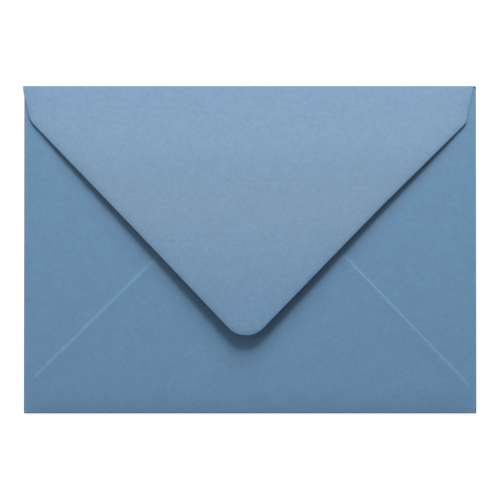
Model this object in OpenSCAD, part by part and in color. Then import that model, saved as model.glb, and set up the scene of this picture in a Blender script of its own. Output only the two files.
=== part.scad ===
// Paper envelope with a pointed top flap, folded from one die-cut sheet.
// It lies on its front panel with the back up. X runs along its width, Y points to the top fold,
// Z points up through the layers, and the origin is under the middle of the front panel.

/* [Pocket] */
// Width of the closed envelope
envelope_w = 184.15; // [165:0.05:230]
// Height of the closed envelope, from the bottom fold to the top fold
envelope_h = 133.35; // [118:0.05:160]
// Thickness of the paper
paper_t = 0.16; // [0.1:0.01:0.25]
// Free height inside the empty pocket
pocket_gap = 0.7; // [0.4:0.05:1.2]
// Distance by which each side fold stops short of the top and bottom edges
corner_relief = 1.2; // [1:0.1:3]

/* [Top flap] */
// Gap between the folded top flap and the bottom flap's face, beside the top fold
flap_clearance = 0.1; // [0.05:0.05:0.6]
// Angle at which the unsealed flap leaves the top fold
flap_lift = 3.2; // [1.5:0.1:10]
// Angle that the flap's own weight takes off its slope by the tip
flap_droop = 0.8; // [0:0.1:1.5]
// Distance from the envelope's sides to the ends of the top fold
flap_inset = 0.725; // [0.5:0.025:3]
// Sideways offset of the top flap, to the right
flap_shift = -0.7; // [-0.7:0.05:0.7]
// Turn of the flap's cut outline against its fold
flap_skew = -0.445; // [-0.6:0.005:0.6]
// Distance from the envelope's sides to the flap's shoulder corners
flap_shoulder_in = 3.3; // [3:0.05:8]
// Distance from the top fold to the flap's shoulder corners
flap_shoulder_d = 14.25; // [10:0.05:20]
// Distance from the top fold to the point where the flap's slanted edges would meet
flap_apex_d = 105.6; // [90:0.1:115]
// Radius of the flap's shoulder corners
flap_corner_r = 9; // [2:0.5:14]
// Radius of the flap's rounded tip
flap_tip_r = 9.55; // [3:0.05:20]

/* [Bottom flap] */
// Distance from the envelope's sides to the ends of the bottom fold
bottom_inset = 1.1; // [1:0.05:3]
// Sideways offset of the bottom flap, to the right
bottom_shift = 0.45; // [-0.45:0.05:0.45]
// Turn of the bottom flap's cut outline against its fold
bottom_skew = -0.8; // [-0.9:0.05:0.9]
// Distance from the envelope's sides to the bottom flap's shoulder corners
bottom_shoulder_in = 3.6; // [3:0.05:8]
// Distance from the bottom fold to the bottom flap's shoulder corners
bottom_shoulder_d = 13.2; // [8:0.1:16]
// Distance from the bottom fold to the point where the slanted edges would meet
bottom_apex_d = 103.7; // [92:0.1:112]
// Radius of the bottom flap's shoulder corners
bottom_corner_r = 10; // [2:0.5:14]
// Radius of the bottom flap's hidden tip
bottom_tip_r = 12; // [4:0.5:20]

/* [Side flaps] */
// Width of the band of each side flap that is glued under the bottom flap
seam_overlap = 13; // [8:0.5:18]
// Depth to which the two glued layers press into each other
seam_press = 0.02; // [0.01:0.01:0.04]
// Angle by which a side flap narrows from its fold to its shoulder corners
side_taper = 4; // [1:0.5:10]
// Radius of the side flaps' shoulder corners
side_corner_r = 6; // [2:0.5:10]
// Radius of the side flaps' tips
side_tip_r = 10; // [4:0.5:20]

/* [Hidden] */

// Inner and outer radii of the folds, each set by the layers that lie between its two sides
side_inner_r = pocket_gap / 2;
bottom_inner_r = (pocket_gap + paper_t - seam_press) / 2;
top_inner_r = (pocket_gap + 2 * paper_t + flap_clearance) / 2;
side_outer_r = side_inner_r + paper_t;
bottom_outer_r = bottom_inner_r + paper_t;
top_outer_r = top_inner_r + paper_t;

// Half lengths of the folds, and half widths across the flaps' shoulder corners
top_half = envelope_w / 2 - flap_inset;
bottom_half = envelope_w / 2 - bottom_inset;
side_half = envelope_h / 2 - corner_relief;
top_shoulder_half = envelope_w / 2 - flap_shoulder_in;
bottom_shoulder_half = envelope_w / 2 - bottom_shoulder_in;

// The edge of a side flap runs parallel to the bottom flap's slanted edge, seam_overlap below it.
// seam_y is its height beside the bottom flap's shoulder corner.
seam_angle = atan2(bottom_apex_d - bottom_shoulder_d, bottom_shoulder_half);
seam_y = bottom_shoulder_d - envelope_h / 2 - seam_overlap / cos(seam_angle);
side_shoulder_d = (bottom_shoulder_in * tan(seam_angle) - side_half - seam_y)
    / (tan(seam_angle) - tan(side_taper));
side_shoulder_half = side_half - side_shoulder_d * tan(side_taper);
side_apex_d = bottom_shoulder_in - seam_y / tan(seam_angle);

// Length of flat panel that is drawn with each fold, so that the two join well
fold_root = 1;
// Steps round a fold, along the drooping flap and round a corner of an outline
fold_steps = 12;
flap_steps = 8;
corner_steps = 8;
// Amount by which cutting shapes stand clear of what they cut
cut_spare = 2;
// Height of the plan shapes that trim the flaps
cut_h = 2 * top_outer_r + flap_apex_d * sin(flap_lift) + 2 * cut_spare;

paper_color = [0.45, 0.59, 0.71];

function reversed(points) = [for (i = [len(points) - 1:-1:0]) points[i]];

function unit(v) = v / norm(v);

// Point p turned about another by an angle
function turned(p, about, angle) =
    let (d = p - about)
    about + [d.x * cos(angle) - d.y * sin(angle), d.x * sin(angle) + d.y * cos(angle)];

// Arc that rounds the corner at the point "at", tangent to the edges to its two neighbours
function corner_arc(before, at, after, r) =
    let (
        to_before = unit(before - at),
        to_after = unit(after - at),
        half_angle = acos(to_before * to_after) / 2,
        centre = at + unit(to_before + to_after) * r / sin(half_angle),
        first = at + to_before * r / tan(half_angle) - centre,
        last = at + to_after * r / tan(half_angle) - centre,
        start = atan2(first.y, first.x),
        turn = atan2(first.x * last.y - first.y * last.x, first * last)
    )
    [for (i = [0:corner_steps])
        let (a = start + turn * i / corner_steps)
        centre + r * [cos(a), sin(a)]];

// Outline through corners given as [point, radius], where a radius of 0 leaves a sharp corner
function rounded(corners) =
    let (n = len(corners))
    [for (i = [0:n - 1])
        let (
            before = corners[(i + n - 1) % n][0],
            at = corners[i][0],
            after = corners[(i + 1) % n][0],
            r = corners[i][1]
        )
        each (r > 0 ? corner_arc(before, at, after, r) : [at])];

// Section across a fold and the flap behind it, in the plane across the fold.
// The sheet comes along the floor, turns up and back at "edge", and leaves at the angle "lift",
// of which "droop" is lost again over the length "reach".
function fold_section(edge, inner_r, lift, droop, reach) =
    let (
        outer_r = inner_r + paper_t,
        centre = [edge - outer_r, outer_r],
        turn = 180 - lift,
        angles = [for (i = [0:fold_steps]) turn * i / fold_steps - 90],
        outer_arc = [for (a = angles) centre + outer_r * [cos(a), sin(a)]],
        inner_arc = [for (a = angles) centre + inner_r * [cos(a), sin(a)]],
        start = inner_arc[fold_steps],
        steps = droop > 0 ? flap_steps : 1,
        runs = [for (i = [1:steps]) i / steps],
        under = [for (k = runs)
            let (chord = lift - droop * k / 2)
            start + k * reach * [-cos(chord), sin(chord)]],
        over = [for (i = [0:steps - 1])
            let (slope = lift - droop * runs[i])
            under[i] + paper_t * [sin(slope), cos(slope)]]
    )
    concat(
        [[centre.x - fold_root, 0]], outer_arc, over,
        reversed(under), reversed(inner_arc), [[centre.x - fold_root, paper_t]]
    );

// Plan outline of a flap whose fold lies along the line y = edge.
// Its sides stay square to the fold over the first "square_d", so that the fold's ends are clean.
module flap_plan(edge, half, shift, square_d, shoulder_half, shoulder_d, apex_d, skew, corner_r, tip_r) {
    middle = [shift, edge];
    left = turned([shift - shoulder_half, edge - shoulder_d], middle, skew);
    right = turned([shift + shoulder_half, edge - shoulder_d], middle, skew);
    tip = turned([shift, edge - apex_d], middle, skew);
    polygon(rounded([
        [[shift - half, edge + cut_spare], 0],
        [[shift - half, edge - square_d], 0],
        [left, corner_r],
        [tip, tip_r],
        [right, corner_r],
        [[shift + half, edge - square_d], 0],
        [[shift + half, edge + cut_spare], 0]
    ]));
}

// Folded strip of paper along the line y = edge, trimmed to the plan outline of its children
module folded_flap(edge, inner_r, lift, droop, reach) {
    intersection() {
        rotate([90, 0, 90])
            linear_extrude(height = envelope_w + envelope_h, center = true)
                polygon(fold_section(edge, inner_r, lift, droop, reach));
        translate([0, 0, -cut_spare])
            linear_extrude(height = cut_h)
                children();
    }
}

// Front panel, cut back along its edges to where each fold begins
module front_panel() {
    linear_extrude(height = paper_t)
        difference() {
            square([envelope_w, envelope_h], center = true);
            translate([flap_shift - top_half, envelope_h / 2 - top_outer_r])
                square([2 * top_half, top_outer_r + cut_spare]);
            translate([bottom_shift - bottom_half, -envelope_h / 2 - cut_spare])
                square([2 * bottom_half, bottom_outer_r + cut_spare]);
            for (side = [-1, 1])
                translate([side * (envelope_w / 2 - side_outer_r / 2 + cut_spare / 2), 0])
                    square([side_outer_r + cut_spare, 2 * side_half], center = true);
        }
}

module top_flap() {
    edge = envelope_h / 2;
    folded_flap(edge, top_inner_r, flap_lift, flap_droop, flap_apex_d)
        flap_plan(
            edge, top_half, flap_shift, top_outer_r + fold_root, top_shoulder_half,
            flap_shoulder_d, flap_apex_d, flap_skew, flap_corner_r, flap_tip_r
        );
}

module bottom_flap() {
    edge = envelope_h / 2;
    rotate([0, 0, 180])
        folded_flap(edge, bottom_inner_r, 0, 0, bottom_apex_d)
            flap_plan(
                edge, bottom_half, -bottom_shift, bottom_outer_r + fold_root, bottom_shoulder_half,
                bottom_shoulder_d, bottom_apex_d, bottom_skew, bottom_corner_r, bottom_tip_r
            );
}

// Side flap, drawn along the top edge and turned to the side that "angle" gives
module side_flap(angle) {
    edge = envelope_w / 2;
    rotate([0, 0, angle])
        folded_flap(edge, side_inner_r, 0, 0, side_apex_d)
            flap_plan(
                edge, side_half, 0, side_outer_r + fold_root, side_shoulder_half,
                side_shoulder_d, side_apex_d, 0, side_corner_r, side_tip_r
            );
}

// The whole envelope is one sheet: the glued seams join the bottom flap to the side flaps,
// and the pocket stays open behind the top flap
module envelope() {
    color(paper_color)
        union() {
            front_panel();
            side_flap(90);
            side_flap(-90);
            bottom_flap();
            top_flap();
        }
}

envelope();
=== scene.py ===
import math

import bpy
import numpy as np
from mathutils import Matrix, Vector
from mathutils.geometry import delaunay_2d_cdt


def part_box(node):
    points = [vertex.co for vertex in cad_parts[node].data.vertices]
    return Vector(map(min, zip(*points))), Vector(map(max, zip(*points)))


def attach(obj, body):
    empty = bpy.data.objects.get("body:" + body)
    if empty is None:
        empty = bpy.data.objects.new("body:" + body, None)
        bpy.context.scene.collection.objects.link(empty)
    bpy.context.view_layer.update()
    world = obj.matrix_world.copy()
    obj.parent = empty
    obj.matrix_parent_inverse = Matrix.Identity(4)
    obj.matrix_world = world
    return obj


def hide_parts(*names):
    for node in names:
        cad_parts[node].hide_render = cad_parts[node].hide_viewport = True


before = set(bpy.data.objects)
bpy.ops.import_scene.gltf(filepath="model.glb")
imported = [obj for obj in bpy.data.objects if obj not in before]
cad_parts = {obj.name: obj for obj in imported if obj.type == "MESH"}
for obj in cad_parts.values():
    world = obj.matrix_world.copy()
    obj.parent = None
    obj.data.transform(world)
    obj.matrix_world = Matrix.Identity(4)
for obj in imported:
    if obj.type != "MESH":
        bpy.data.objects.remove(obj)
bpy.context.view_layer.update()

# Sizes here are in millimetres, and MM turns them into Blender's metres.
MM = 0.001

cad_low, cad_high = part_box("envelope")
ENVELOPE_W = (cad_high.x - cad_low.x) / MM
ENVELOPE_H = (cad_high.y - cad_low.y) / MM

# The paper, and the layers of the closed envelope
PAPER_T = 0.16
SEAM_PRESS = 0.02
FLAP_CLEARANCE = 0.05
CORNER_SLIT = 0.03

# How far each side's fold stops short of the bottom and top edges: the left side's, then the right's
LEFT_RELIEF = (0.25, 0.4)
RIGHT_RELIEF = (1.85, 0.85)

# The pocket is thin at its creased edges, and rises over a short way to its full height
CREASE_GAP = 0.4
POCKET_RISE = 0.5
POCKET_SHORE = 9.0
POCKET_BULGE = 0.1

# Share of its round depth to which the top fold is squashed, where 1 leaves a fold round
TOP_SQUASH = 0.25

# Places of the top and the bottom flap in the list of flaps
TOP, BOTTOM = 0, 2

# Corners of each flap in its own frame: place along the fold, depth below it, and radius.
# They run from the flap's left shoulder over its tip to its right one, and its fold reaches from
# the first of its ends to the second. The slanted edges of the top flap are a trifle hollow, so
# each has a wide bend half way.
TOP_CORNERS = (
    (-92.35, 2.7, 8.0),
    (-89.46, 14.26, 9.6),
    (-48.66, 56.43, 1000.0),
    (-1.75, 105.6, 9.7),
    (52.2, 50.17, 1000.0),
    (87.6, 15.43, 3.0),
    (90.9, 0.7, 0.15),
)
TOP_ENDS = (-92.6, 92.2)
BOTTOM_CORNERS = ((-88.5, 13.0, 10.0), (-1.48, 103.41, 12.0), (88.5, 15.14, 6.0))
BOTTOM_ENDS = (-91.75, 90.52)
SIDE_CORNERS = ((-64.7, 10.8, 6.0), (0.0, 74.0, 10.0), (64.7, 10.8, 6.0))

# The unsealed top flap springs off its fold with a steeper slope, which fades into an even one,
# in degrees and millimetres
FLAP_SLOPE = 2.4
FLAP_SPRING = 2.9
FLAP_SPRING_END = 18.0
FLAP_SPRING_FADE = 20.0

# Its cut edge rolls over a little: slopes at the edge and the widths over which they fade
ROLL_NEAR, ROLL_NEAR_W = 0.2, 1.2
ROLL_FAR, ROLL_FAR_W = 0.03, 6.0

# The bottom flap's cut edge is pressed thin over a band along each seam. Behind the band the flap
# stands up as a soft ridge, with a height on each side and a width over which it falls off.
SEAM_EDGE_T = 0.03
SEAM_BAND_LEFT = 1.44
SEAM_BAND_RIGHT = 1.2
SEAM_RIDGE_LEFT = 0.1
SEAM_RIDGE_RIGHT = 0.08
SEAM_RIDGE_W = 3.0

# Edge effects fade out towards a fold: where the seams and the top flap's rolled edge begin, and
# the lengths over which they come in
SEAM_CLEAR = 8.5
SEAM_FADE = 5.0
ROLL_CLEAR = 3.0
ROLL_FADE = 10.0

# Beside the fold the flap's sides dip with the pocket that they lie over, up to the shoulders:
# the share of the pocket's own dip that they follow, and where it ends
LYING_SHARE = 0.5
LYING_END = 10.0
LYING_FADE = 6.0

# Length over which the slope of a flap is added up, and its number of steps
SLOPE_REACH = 120.0
SLOPE_STEPS = 960

# Spacing of the mesh along the outline of the flat sheet, and the fewest steps of an arc
EDGE_STEP = 1.0
ARC_STEP = 0.8
ARC_STEPS_MIN = 4

# Rows round a fold with one just past it, columns along it, and closer columns at its two ends
FOLD_ROWS = 10
FOLD_END = 0.1
FOLD_STEP = 1.5
END_COLUMNS = (0.12, 0.27, 0.45, 0.68, 0.95, 1.22)

# Further rows beyond a fold, and rings inside a flap's cut edge, by their distances
BEYOND_FOLD = (0.25, 0.6, 1.1, 1.8)
RINGS = (0.2, 0.42, 0.66, 0.92, 1.2, 1.55, 2.0, 2.6, 3.4)

# Rings begin this far beyond the last row, and keep this share of their distance to any cut edge
RING_START = 0.4
RING_SHARE = 0.95

# Lattices fill the panel and the flaps. In a flap the lattice begins a little further out than the
# rings do, and stays inside the last ring.
PANEL_STEP = 4.0
BACK_STEP = 2.0
BACK_START = 0.5
BACK_INSIDE = 0.8

# Distances within which two places on the flat sheet count as one
SAME_POINT = 1e-6
SAME_PLACE = 1e-4

# Edges of the mesh that turn by more than this, in degrees, stay sharp
SHARP_ANGLE = 50.0

# Finish of the paper, with linear colours; the painted sheen on the flap's face and the pale fold lines
# mix towards PALE_COLOR
PAPER_COLOR = (0.092, 0.209, 0.36)
PALE_COLOR = (0.85, 0.8, 0.7)
PAPER_ROUGHNESS = 0.62
PAPER_SPECULAR = 0.8

# The flap's face is paler by painted sheen: by an even share of FLAP_PALE, and by all of it at a depth
# below the fold, fading over one length towards the fold and over another towards the tip
FLAP_PALE = 0.06
PALE_EVEN = 0.3
PALE_PLACE = 50.0
PALE_ABOVE = 42.0
PALE_BELOW = 24.0

# The top fold and the side folds are paler, by this share along a line just past each fold, with its
# half width
FOLD_PALE = 0.018
LINE_PLACE = 0.4
LINE_W = 0.35

# Patterns in the paper, each with its waves per metre, its detail and its roughness
GRAIN = (1100.0, 3.0, 0.8)
FELT = (480.0, 3.0, 0.7)
CLOUD = (160.0, 2.0, 0.5)

# Shares of the patterns in the brightness of the colour, and of the felt marks in the roughness
GRAIN_SHARE = 0.4
FELT_SHARE = 0.34
CLOUD_SHARE = 0.09
ROUGHNESS_SHARE = 0.12

# Relief of the grain, with the share of the felt marks in it, and its strength on the pocket and
# on the flap's face
RELIEF_DEPTH = 0.065
RELIEF_FELT = 0.7
RELIEF_POCKET = 0.6
RELIEF_FLAP = 1.0

# Camera: the picture's width on the envelope, its lens, its tilt, and the point it looks at
PICTURE_PX = 500
PX_PER_MM = 2.4578
PICTURE_W = PICTURE_PX / PX_PER_MM
LENS, SENSOR_W = 100.0, 36.0
CAMERA_TILT = 0.55
CAMERA_AIM = (-0.06, -0.21, 1.0)

# Soft lights, LIGHT_DISTANCE metres away and aimed at the envelope: azimuth from its top edge
# and elevation in degrees, spread in degrees across and up, share of the light that makes white
# paper white, and colour
LIGHT_DISTANCE = 1.1
WARM = (1.0, 0.985, 0.95)
WHITE = (1.0, 1.0, 1.0)
SOFTBOXES = {
    "high": (3.5, 52.0, (21.0, 21.0), 0.05, WARM),
    "key": (3.5, 37.5, (16.0, 8.0), 0.38, WARM),
    "low": (3.5, 22.5, (19.0, 23.0), 0.42, WARM),
    "left": (-80.0, 38.0, (21.0, 21.0), 0.05, WHITE),
}

# Level of the sky as a light and as a backdrop
SKY = 0.11
BACKDROP = 0.94

# Floor: its glow for the camera, its grey for light, its half width and its place below the
# envelope, in metres
FLOOR_GLOW = 0.9
FLOOR_GREY = 0.25
FLOOR_SIZE = 2.0
FLOOR_DROP = 0.00005


def smooth(x):
    """Smooth step from 0 to 1 while x runs from 0 to 1."""
    x = np.clip(x, 0.0, 1.0)
    return x * x * (3.0 - 2.0 * x)


def turned(points, angle):
    """Points of a plane, turned about the origin by an angle in degrees."""
    points = np.asarray(points, float)
    c, s = math.cos(math.radians(angle)), math.sin(math.radians(angle))
    return points @ np.array([[c, s], [-s, c]])


def rounded(corners):
    """Outline through (point, radius) corners: the two ends stay, and each other is an arc."""
    outline = [np.array(corners[0][0], float)]
    for (before, _), (at, r), (after, _) in zip(corners, corners[1:], corners[2:]):
        before, at, after = (np.array(p, float) for p in (before, at, after))
        a = (before - at) / np.linalg.norm(before - at)
        b = (after - at) / np.linalg.norm(after - at)
        half = math.acos(a @ b) / 2
        centre = at + (a + b) / np.linalg.norm(a + b) * r / math.sin(half)
        first = at + a * r / math.tan(half) - centre
        last = at + b * r / math.tan(half) - centre
        start = math.atan2(first[1], first[0])
        turn = math.atan2(first[0] * last[1] - first[1] * last[0], first @ last)
        steps = max(ARC_STEPS_MIN, math.ceil(abs(turn) * r / ARC_STEP))
        for k in range(steps + 1):
            angle = start + turn * k / steps
            outline.append(centre + r * np.array([math.cos(angle), math.sin(angle)]))
    outline.append(np.array(corners[-1][0], float))
    return outline


def subdivided(outline, step):
    """The same outline with no stretch longer than step."""
    points = []
    for a, b in zip(outline, outline[1:]):
        count = max(1, math.ceil(np.linalg.norm(b - a) / step))
        points += [a + (b - a) * k / count for k in range(count)]
    return points + [outline[-1]]


class Flap:
    """A flap with its fold. On the flat sheet it has its own frame: u along the fold, e outwards."""

    def __init__(self, angle, edge, inner_r, ends, corners, slope=None, squash=1.0):
        self.angle = angle
        self.edge = edge
        self.r = inner_r
        self.ends = ends
        self.squash = squash
        self.start = edge - (inner_r + PAPER_T) * squash
        self.s = np.linspace(0.0, SLOPE_REACH, SLOPE_STEPS + 1)
        self.slope = np.radians(slope(self.s)) if slope else np.zeros_like(self.s)
        middles = (self.slope[1:] + self.slope[:-1]) / 2
        step = self.s[1]
        self.run = np.concatenate([[0], np.cumsum(np.cos(middles) * step)])
        self.rise = np.concatenate([[0], np.cumsum(np.sin(middles) * step)])
        self.turn = math.pi - self.slope[0]
        self.root = self.start + inner_r * self.turn
        self.rows = [self.start + inner_r * self.turn * k / FOLD_ROWS for k in range(FOLD_ROWS + 1)]
        self.rows.append(self.root + FOLD_END)
        self.beyond = [self.root + d for d in BEYOND_FOLD]
        last = self.rows[-1]
        cut = [(self.flat(u, depth), radius) for u, depth, radius in reversed(corners)]
        cut = rounded([((ends[1], last), 0), *cut, ((ends[0], last), 0)])
        self.cut_edge = subdivided(cut, EDGE_STEP)
        self.outline = (
            [np.array([ends[1], e]) for e in self.rows[:-1]]
            + self.cut_edge
            + [np.array([ends[0], e]) for e in reversed(self.rows[:-1])]
        )

    def flat(self, u, depth):
        """Place on the flat sheet of a point seen at a depth below the fold."""
        along = self.start + self.r * math.sin(self.turn) * self.squash - (self.edge - depth)
        return u, self.root + float(np.interp(along, self.run, self.s))

    def fold(self, u, e):
        """Folds points of the flat sheet: their places, outward normals and lengths past the fold."""
        phi = np.clip((e - self.start) / self.r, 0.0, self.turn)
        s = np.maximum(e - self.root, 0.0)
        y = self.start + self.r * np.sin(phi) * self.squash - np.interp(s, self.s, self.run)
        z = PAPER_T + self.r * (1 - np.cos(phi)) + np.interp(s, self.s, self.rise)
        theta = np.where(s > 0, math.pi - np.interp(s, self.s, self.slope), phi)
        plan = turned(np.stack([u, y], 1), self.angle)
        squash = np.where(s > 0, 1.0, self.squash)
        across = turned(np.stack([np.zeros_like(u), np.sin(theta) * squash], 1), self.angle)
        return (
            np.column_stack([plan, z]),
            np.column_stack([across, -np.cos(theta)]),
            e - self.root,
        )


def edge_distance(points, line):
    """Distance of each point from an open line of points."""
    a, b = line[:-1], line[1:]
    ab = b - a
    t = np.einsum("ijk,jk->ij", points[:, None] - a[None], ab) / (ab * ab).sum(1)
    t = np.clip(t, 0, 1)
    nearest = a[None] + t[..., None] * ab[None]
    return np.linalg.norm(points[:, None] - nearest, axis=2).min(1)


def inside(points, loop):
    """True for each point inside a closed loop of points."""
    x, y = points[:, 0][:, None], points[:, 1][:, None]
    a, b = loop, np.roll(loop, -1, 0)
    spans = (a[:, 1] > y) != (b[:, 1] > y)
    rise = np.where(b[:, 1] == a[:, 1], 1.0, b[:, 1] - a[:, 1])
    cross = a[:, 0] + (y - a[:, 1]) * (b[:, 0] - a[:, 0]) / rise
    return ((x < cross) & spans).sum(1) % 2 == 1


def lattice(low, high, step):
    """Points of a triangular lattice that fills a box."""
    rows = np.arange(low[1], high[1], step * math.sqrt(3) / 2)
    points = []
    for i, y in enumerate(rows):
        xs = np.arange(low[0] + (i % 2) * step / 2, high[0], step)
        points += [(x, y) for x in xs]
    return np.array(points)


def flap_points(flap):
    """Points inside a flap on the flat sheet: rows round the fold, rings along the edge, a lattice."""
    points = []
    low, high = flap.ends
    columns = list(np.linspace(low, high, round((high - low) / FOLD_STEP))[1:-1])
    columns += [low + d for d in END_COLUMNS] + [high - d for d in END_COLUMNS]
    for e in flap.rows:
        points += [(u, e) for u in columns]
    line = np.array(flap.cut_edge)
    loop = np.array(flap.outline)
    along = np.gradient(line, axis=0)
    inward = np.column_stack([-along[:, 1], along[:, 0]]) / np.linalg.norm(along, axis=1)[:, None]
    near = np.array([(u, e) for e in flap.beyond for u in columns])
    near = near[inside(near, loop)]
    points += [tuple(p) for p in near[edge_distance(near, line) > RINGS[0]]]
    free = flap.beyond[-1] + RING_START
    for d in RINGS:
        ring = line + inward * d
        keep = (ring[:, 1] > free) & inside(ring, loop)
        keep &= edge_distance(ring, line) > RING_SHARE * d
        points += [tuple(p) for p in ring[keep]]
    fill = lattice(loop.min(0), loop.max(0), BACK_STEP)
    fill = fill[(fill[:, 1] > free + BACK_START) & inside(fill, loop)]
    fill = fill[edge_distance(fill, line) > RINGS[-1] + BACK_INSIDE]
    points += [tuple(p) for p in fill]
    return turned(points, flap.angle)


def panel_points():
    """Points inside the front panel."""
    half = np.array([ENVELOPE_W, ENVELOPE_H]) / 2 - PANEL_STEP
    return lattice(-half, half, PANEL_STEP)


def sheet_outline(flaps):
    """Closed outline of the flat sheet: each flap in turn, with the panel's corner between two flaps.

    Where a fold runs on past the corner, the corner ends at that fold's start."""
    loop = []
    for flap, following in zip(flaps, flaps[1:] + flaps[:1]):
        end, side, start = flap.ends[0], -following.edge, following.ends[1]
        near = [(end - CORNER_SLIT, flap.edge), (side, flap.edge)]
        far = [(start + CORNER_SLIT, following.edge)]
        if end - side < 2 * CORNER_SLIT:
            near = [(side, flap.start)]
        if flap.edge - start < 2 * CORNER_SLIT:
            near = near[:1]
            far = [(flap.edge, following.start)]
        loop += [turned([p], flap.angle)[0] for p in [*flap.outline, *near]]
        loop += [turned([p], following.angle)[0] for p in far]
    return np.array(loop)


def top_slope(s):
    """Slope of the top flap in degrees, along its length from the fold."""
    return FLAP_SLOPE + FLAP_SPRING * (1 - smooth((s - FLAP_SPRING_END) / FLAP_SPRING_FADE))


def make_flaps():
    """The four flaps in order round the sheet, counterclockwise from the top."""
    half_w, half_h = ENVELOPE_W / 2, ENVELOPE_H / 2
    side_r = CREASE_GAP / 2
    bottom_r = (CREASE_GAP + PAPER_T - SEAM_PRESS) / 2
    top_r = (CREASE_GAP + PAPER_T + FLAP_CLEARANCE) / 2
    left_ends = (LEFT_RELIEF[0] - half_h, half_h - LEFT_RELIEF[1])
    right_ends = (RIGHT_RELIEF[1] - half_h, half_h - RIGHT_RELIEF[0])
    return [
        Flap(0, half_h, top_r, TOP_ENDS, TOP_CORNERS, top_slope, TOP_SQUASH),
        Flap(90, half_w, side_r, left_ends, SIDE_CORNERS),
        Flap(180, half_h, bottom_r, BOTTOM_ENDS, BOTTOM_CORNERS),
        Flap(-90, half_w, side_r, right_ends, SIDE_CORNERS),
    ]


def shore(place, size):
    """Share of the pocket's height at a place across it: 0 over the creases, 1 further in."""
    depth = size / 2 - CREASE_GAP / 2 - PAPER_T - np.abs(place)
    return 1 - (1 - np.clip(depth / POCKET_SHORE, 0, 1)) ** 2


def pocket_height(x, y):
    """How far the pocket's back stands above its creased edges, over a place on it."""
    crown = (1 - (2 * x / ENVELOPE_W) ** 2) * (1 - (2 * y / ENVELOPE_H) ** 2)
    return shore(x, ENVELOPE_W) * shore(y, ENVELOPE_H) * (POCKET_RISE + POCKET_BULGE * crown)


def press_seams(bottom, owner, past, place, thickness):
    """Raises the pocket's back, and presses the bottom flap's cut edge down on the side flaps."""
    edge_u, edge_e = np.array(bottom.cut_edge).T
    edge_line = bottom.fold(edge_u, edge_e)[0][:, :2]
    back = owner > TOP
    x, y = place[back, 0], place[back, 1]
    d = edge_distance(place[back, :2], edge_line)
    d = np.where(inside(place[back, :2], edge_line), d, 0.0)
    band = np.where(x < 0, SEAM_BAND_LEFT, SEAM_BAND_RIGHT)
    height = np.where(x < 0, SEAM_RIDGE_LEFT, SEAM_RIDGE_RIGHT)
    ridge = height * smooth(d / band) * np.exp(-((np.maximum(d - band, 0) / SEAM_RIDGE_W) ** 2))
    fade = smooth((past[back] - SEAM_CLEAR) / SEAM_FADE)
    on_bottom = owner[back] == BOTTOM
    place[back, 2] += pocket_height(x, y) + np.where(on_bottom, ridge * fade, 0.0)
    pressed = (PAPER_T - SEAM_EDGE_T) * (1 - smooth(d / band)) * fade
    thickness[back] -= np.where(on_bottom, pressed, 0.0)


def settle_flap(top, owner, past, flat, place):
    """Rolls the top flap's cut edge down a little, and dips its sides beside the fold."""
    mine = owner == TOP
    x, y, _ = place[mine].T
    d = edge_distance(flat[mine], np.array(top.cut_edge))
    drop = ROLL_NEAR * ROLL_NEAR_W * np.exp(-d / ROLL_NEAR_W)
    drop += ROLL_FAR * ROLL_FAR_W * np.exp(-d / ROLL_FAR_W)
    drop *= smooth((past[mine] - ROLL_CLEAR) / ROLL_FADE)
    dip = LYING_SHARE * POCKET_RISE * shore(y, ENVELOPE_H) * (1 - shore(x, ENVELOPE_W))
    dip *= 1 - smooth((past[mine] - LYING_END) / LYING_FADE)
    place[mine, 2] -= drop + dip


def make_sheet(flaps):
    """Cuts the flat sheet into triangles and folds it.

    Returns the triangles, the points of the inner and outer surface, the flap that each point
    belongs to, and its length past the flap's fold."""
    loop = sheet_outline(flaps)
    coords = np.vstack([loop] + [flap_points(f) for f in flaps] + [panel_points()])
    flat, _, faces, _, _, _ = delaunay_2d_cdt(
        [Vector(p) for p in coords], [], [list(range(len(loop)))], 1, SAME_POINT, False
    )

    # Triangles that bridge the gaps between the flaps aren't part of the sheet
    flat = np.array(flat)
    faces = np.array(faces)
    faces = faces[inside(flat[faces].mean(1), loop)]
    used, index = np.unique(faces, return_inverse=True)
    flat = flat[used]
    faces = [tuple(face) for face in index.reshape(faces.shape).tolist()]

    # Which flap each point belongs to, or -1 on the front panel
    owner = np.full(len(flat), -1)
    place = np.column_stack([flat, np.full(len(flat), PAPER_T)])
    normal = np.tile([0.0, 0.0, -1.0], (len(flat), 1))
    past = np.full(len(flat), -np.inf)
    for i, flap in enumerate(flaps):
        local = turned(flat, -flap.angle)
        mine = (local[:, 1] > flap.start + SAME_PLACE) & (local[:, 0] > flap.ends[0] - SAME_PLACE)
        mine &= (local[:, 0] < flap.ends[1] + SAME_PLACE) & (owner < 0)
        owner[mine] = i
        place[mine], normal[mine], past[mine] = flap.fold(local[mine, 0], local[mine, 1])

    thickness = np.full(len(flat), PAPER_T)
    press_seams(flaps[BOTTOM], owner, past, place, thickness)
    settle_flap(flaps[TOP], owner, past, flat, place)
    return faces, place, place + normal * thickness[:, None], owner, past


def add_attribute(mesh, name, values):
    """Stores one number for each point of a mesh."""
    attribute = mesh.attributes.new(name, "FLOAT", "POINT")
    attribute.data.foreach_set("value", np.asarray(values, np.float32))


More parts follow.
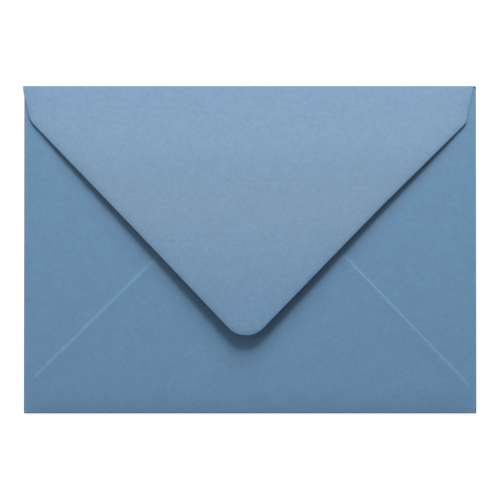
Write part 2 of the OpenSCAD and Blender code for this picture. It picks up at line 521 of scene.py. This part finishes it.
def make_envelope():
    """The folded sheet as one closed mesh: the inner surface, the outer one and the cut rim."""
    faces, inner, outer, owner, past = make_sheet(make_flaps())
    count = len(inner)
    sides = {edge for a, b, c in faces for edge in ((a, b), (b, c), (c, a))}
    rim = [(a, b) for a, b in sides if (b, a) not in sides]
    shell = list(faces)
    shell += [tuple(i + count for i in reversed(face)) for face in faces]
    shell += [(b, a, a + count, b + count) for a, b in sorted(rim)]
    mesh = bpy.data.meshes.new("envelope_paper")
    mesh.from_pydata([tuple(p) for p in np.vstack([inner, outer]) * MM], [], shell)
    mesh.validate()
    mesh.shade_smooth()
    mesh.set_sharp_from_angle(angle=math.radians(SHARP_ANGLE))

    # Painted sheen: the top flap's outer face is made paler, evenly in part and most at a depth below
    # the fold
    fade = np.where(past < PALE_PLACE, PALE_ABOVE, PALE_BELOW)
    patch = np.exp(-(((past - PALE_PLACE) / fade) ** 2))
    pale = np.where(owner == TOP, PALE_EVEN + (1 - PALE_EVEN) * patch, 0.0)
    # A paler line just past the top fold and each side fold
    pale_line = np.exp(-(((past - LINE_PLACE) / LINE_W) ** 2))
    pale_line = np.where((owner >= 0) & (owner != BOTTOM), pale_line, 0.0)
    nothing = np.zeros(count)
    add_attribute(mesh, "flap_painted_sheen", np.concatenate([nothing, pale]))
    add_attribute(mesh, "fold_pale_line", np.concatenate([nothing, pale_line]))
    piece = bpy.data.objects.new("envelope_paper", mesh)
    bpy.context.scene.collection.objects.link(piece)
    return piece


def add_node(tree, kind, **settings):
    """Adds a shader node, with its inputs or properties set by name."""
    node = tree.nodes.new(kind)
    for name, value in settings.items():
        socket = node.inputs.get(name.replace("_", " ").title())
        if socket is None:
            setattr(node, name, value)
        elif isinstance(value, bpy.types.NodeSocket):
            tree.links.new(value, socket)
        else:
            socket.default_value = value
    return node


def add_noise(tree, coords, pattern):
    """A noise with the figures of a pattern. Returns the socket with its value, 0 to 1."""
    scale, detail, roughness = pattern
    settings = {"vector": coords, "scale": scale, "detail": detail, "roughness": roughness}
    return add_node(tree, "ShaderNodeTexNoise", **settings).outputs["Fac"]


def add_math(tree, operation, a, b, c=0.0):
    """One step of arithmetic on sockets or numbers."""
    node = tree.nodes.new("ShaderNodeMath")
    node.operation = operation
    for socket, value in zip(node.inputs, (a, b, c)):
        if isinstance(value, bpy.types.NodeSocket):
            tree.links.new(value, socket)
        else:
            socket.default_value = value
    return node.outputs[0]


def paper_material():
    """Uncoated dyed paper: fine grain, soft mottling, a flap face made paler by painted sheen, and pale
    lines along the folds.
    """
    material = bpy.data.materials.new("paper")
    material.use_nodes = True
    tree = material.node_tree
    shader = tree.nodes["Principled BSDF"]
    coords = tree.nodes.new("ShaderNodeTexCoord").outputs["Object"]

    # Grain of the fibres, felt marks and cloudy formation, each as a number around 0.5
    grain = add_noise(tree, coords, GRAIN)
    felt = add_noise(tree, coords, FELT)
    cloud = add_noise(tree, coords, CLOUD)

    # Brightness of the colour: around 1, varied by a share of each pattern
    base = 1 - (GRAIN_SHARE + FELT_SHARE + CLOUD_SHARE) / 2
    bright = add_math(tree, "MULTIPLY_ADD", grain, GRAIN_SHARE, base)
    bright = add_math(tree, "MULTIPLY_ADD", felt, FELT_SHARE, bright)
    bright = add_math(tree, "MULTIPLY_ADD", cloud, CLOUD_SHARE, bright)

    # Pale share: painted sheen on the flap's face, and the pale fold lines broken up by the felt marks,
    # whose mean is 0.5
    flap_painted_sheen = add_node(tree, "ShaderNodeAttribute", attribute_name="flap_painted_sheen").outputs["Fac"]
    fold_pale_line = add_node(tree, "ShaderNodeAttribute", attribute_name="fold_pale_line").outputs["Fac"]
    pale_line = add_math(tree, "MULTIPLY", fold_pale_line, felt)
    pale = add_math(tree, "MULTIPLY", flap_painted_sheen, FLAP_PALE)
    pale = add_math(tree, "MULTIPLY_ADD", pale_line, 2 * FOLD_PALE, pale)

    ramp = add_node(tree, "ShaderNodeValToRGB", fac=pale)
    ramp.color_ramp.elements[0].color = (*PAPER_COLOR, 1)
    ramp.color_ramp.elements[1].color = (*PALE_COLOR, 1)
    value = add_node(tree, "ShaderNodeHueSaturation", color=ramp.outputs["Color"], value=bright)
    tree.links.new(value.outputs["Color"], shader.inputs["Base Color"])

    smoothest = PAPER_ROUGHNESS - ROUGHNESS_SHARE / 2
    rough = add_math(tree, "MULTIPLY_ADD", felt, ROUGHNESS_SHARE, smoothest)
    tree.links.new(rough, shader.inputs["Roughness"])
    shader.inputs["Specular IOR Level"].default_value = PAPER_SPECULAR

    # Relief of the grain and the felt marks, stronger on the flap's face
    relief = add_math(tree, "MULTIPLY_ADD", felt, RELIEF_FELT, grain)
    more = RELIEF_FLAP - RELIEF_POCKET
    strength = add_math(tree, "MULTIPLY_ADD", flap_painted_sheen, more, RELIEF_POCKET)
    depth = RELIEF_DEPTH * MM
    bump = add_node(tree, "ShaderNodeBump", height=relief, distance=depth, strength=strength)
    tree.links.new(bump.outputs["Normal"], shader.inputs["Normal"])
    return material


def make_camera():
    """Camera above the middle of the envelope, and a little towards its bottom edge."""
    distance = PICTURE_W * LENS / SENSOR_W
    tilt = math.radians(CAMERA_TILT)
    data = bpy.data.cameras.new("camera")
    data.lens = LENS
    data.sensor_width = SENSOR_W
    camera = bpy.data.objects.new("camera", data)
    aim = Vector(CAMERA_AIM)
    camera.location = (aim + distance * Vector((0, -math.sin(tilt), math.cos(tilt)))) * MM
    camera.rotation_euler = (tilt, 0, 0)
    bpy.context.scene.collection.objects.link(camera)
    bpy.context.scene.camera = camera


def add_softbox(name, azimuth, elevation, spread, share, color):
    """A soft light aimed at the envelope. It gives its share of light on a level sheet."""
    data = bpy.data.lights.new(name, "AREA")
    data.shape = "RECTANGLE"
    sizes = [2 * LIGHT_DISTANCE * math.tan(math.radians(angle / 2)) for angle in spread]
    data.size, data.size_y = sizes
    a, e = math.radians(azimuth), math.radians(elevation)
    data.energy = share * (math.pi * LIGHT_DISTANCE) ** 2 / math.sin(e)
    data.color = color
    light = bpy.data.objects.new(name, data)
    direction = Vector((math.sin(a) * math.cos(e), math.cos(a) * math.cos(e), math.sin(e)))
    light.location = direction * LIGHT_DISTANCE
    light.rotation_euler = direction.to_track_quat("Z", "Y").to_euler()
    light.visible_camera = False
    bpy.context.scene.collection.objects.link(light)


def add_camera_share(tree, strength):
    """The strength where the camera, a reflection or a clear body looks, and 0 as a light."""
    path = tree.nodes.new("ShaderNodeLightPath")
    seen = add_math(tree, "ADD", path.outputs["Is Camera Ray"], path.outputs["Is Glossy Ray"])
    seen = add_math(tree, "ADD", seen, path.outputs["Is Transmission Ray"])
    seen = add_math(tree, "MINIMUM", seen, 1.0)
    return add_math(tree, "MULTIPLY", seen, strength)


def make_light():
    """Tall soft light from beyond the top edge, a weak one from the left and an even sky."""
    for name, figures in SOFTBOXES.items():
        add_softbox(name, *figures)
    world = bpy.data.worlds.new("world")
    bpy.context.scene.world = world
    world.use_nodes = True
    tree = world.node_tree
    sky = tree.nodes["Background"]
    sky.inputs["Color"].default_value = (*WHITE, 1)
    strength = add_math(tree, "ADD", add_camera_share(tree, BACKDROP - SKY), SKY)
    tree.links.new(strength, sky.inputs["Strength"])


def make_floor():
    """Pale floor that shows white round the envelope and keeps its shadow."""
    mesh = bpy.data.meshes.new("floor")
    signs = [(-1, -1), (1, -1), (1, 1), (-1, 1)]
    corners = [(x * FLOOR_SIZE, y * FLOOR_SIZE, -FLOOR_DROP) for x, y in signs]
    mesh.from_pydata(corners, [], [(0, 1, 2, 3)])
    floor = bpy.data.objects.new("floor", mesh)
    bpy.context.scene.collection.objects.link(floor)
    material = bpy.data.materials.new("floor")
    material.use_nodes = True
    tree = material.node_tree
    shader = tree.nodes["Principled BSDF"]
    shader.inputs["Base Color"].default_value = (FLOOR_GREY, FLOOR_GREY, FLOOR_GREY, 1)
    shader.inputs["Roughness"].default_value = 1.0
    shader.inputs["Specular IOR Level"].default_value = 0.0
    shader.inputs["Emission Color"].default_value = (*WHITE, 1)
    tree.links.new(add_camera_share(tree, FLOOR_GLOW), shader.inputs["Emission Strength"])
    mesh.materials.append(material)


make_camera()
make_light()
make_floor()
envelope = make_envelope()
envelope.data.materials.append(paper_material())
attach(envelope, "root")
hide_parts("envelope")
bpy.context.scene.view_settings.view_transform = "Standard"
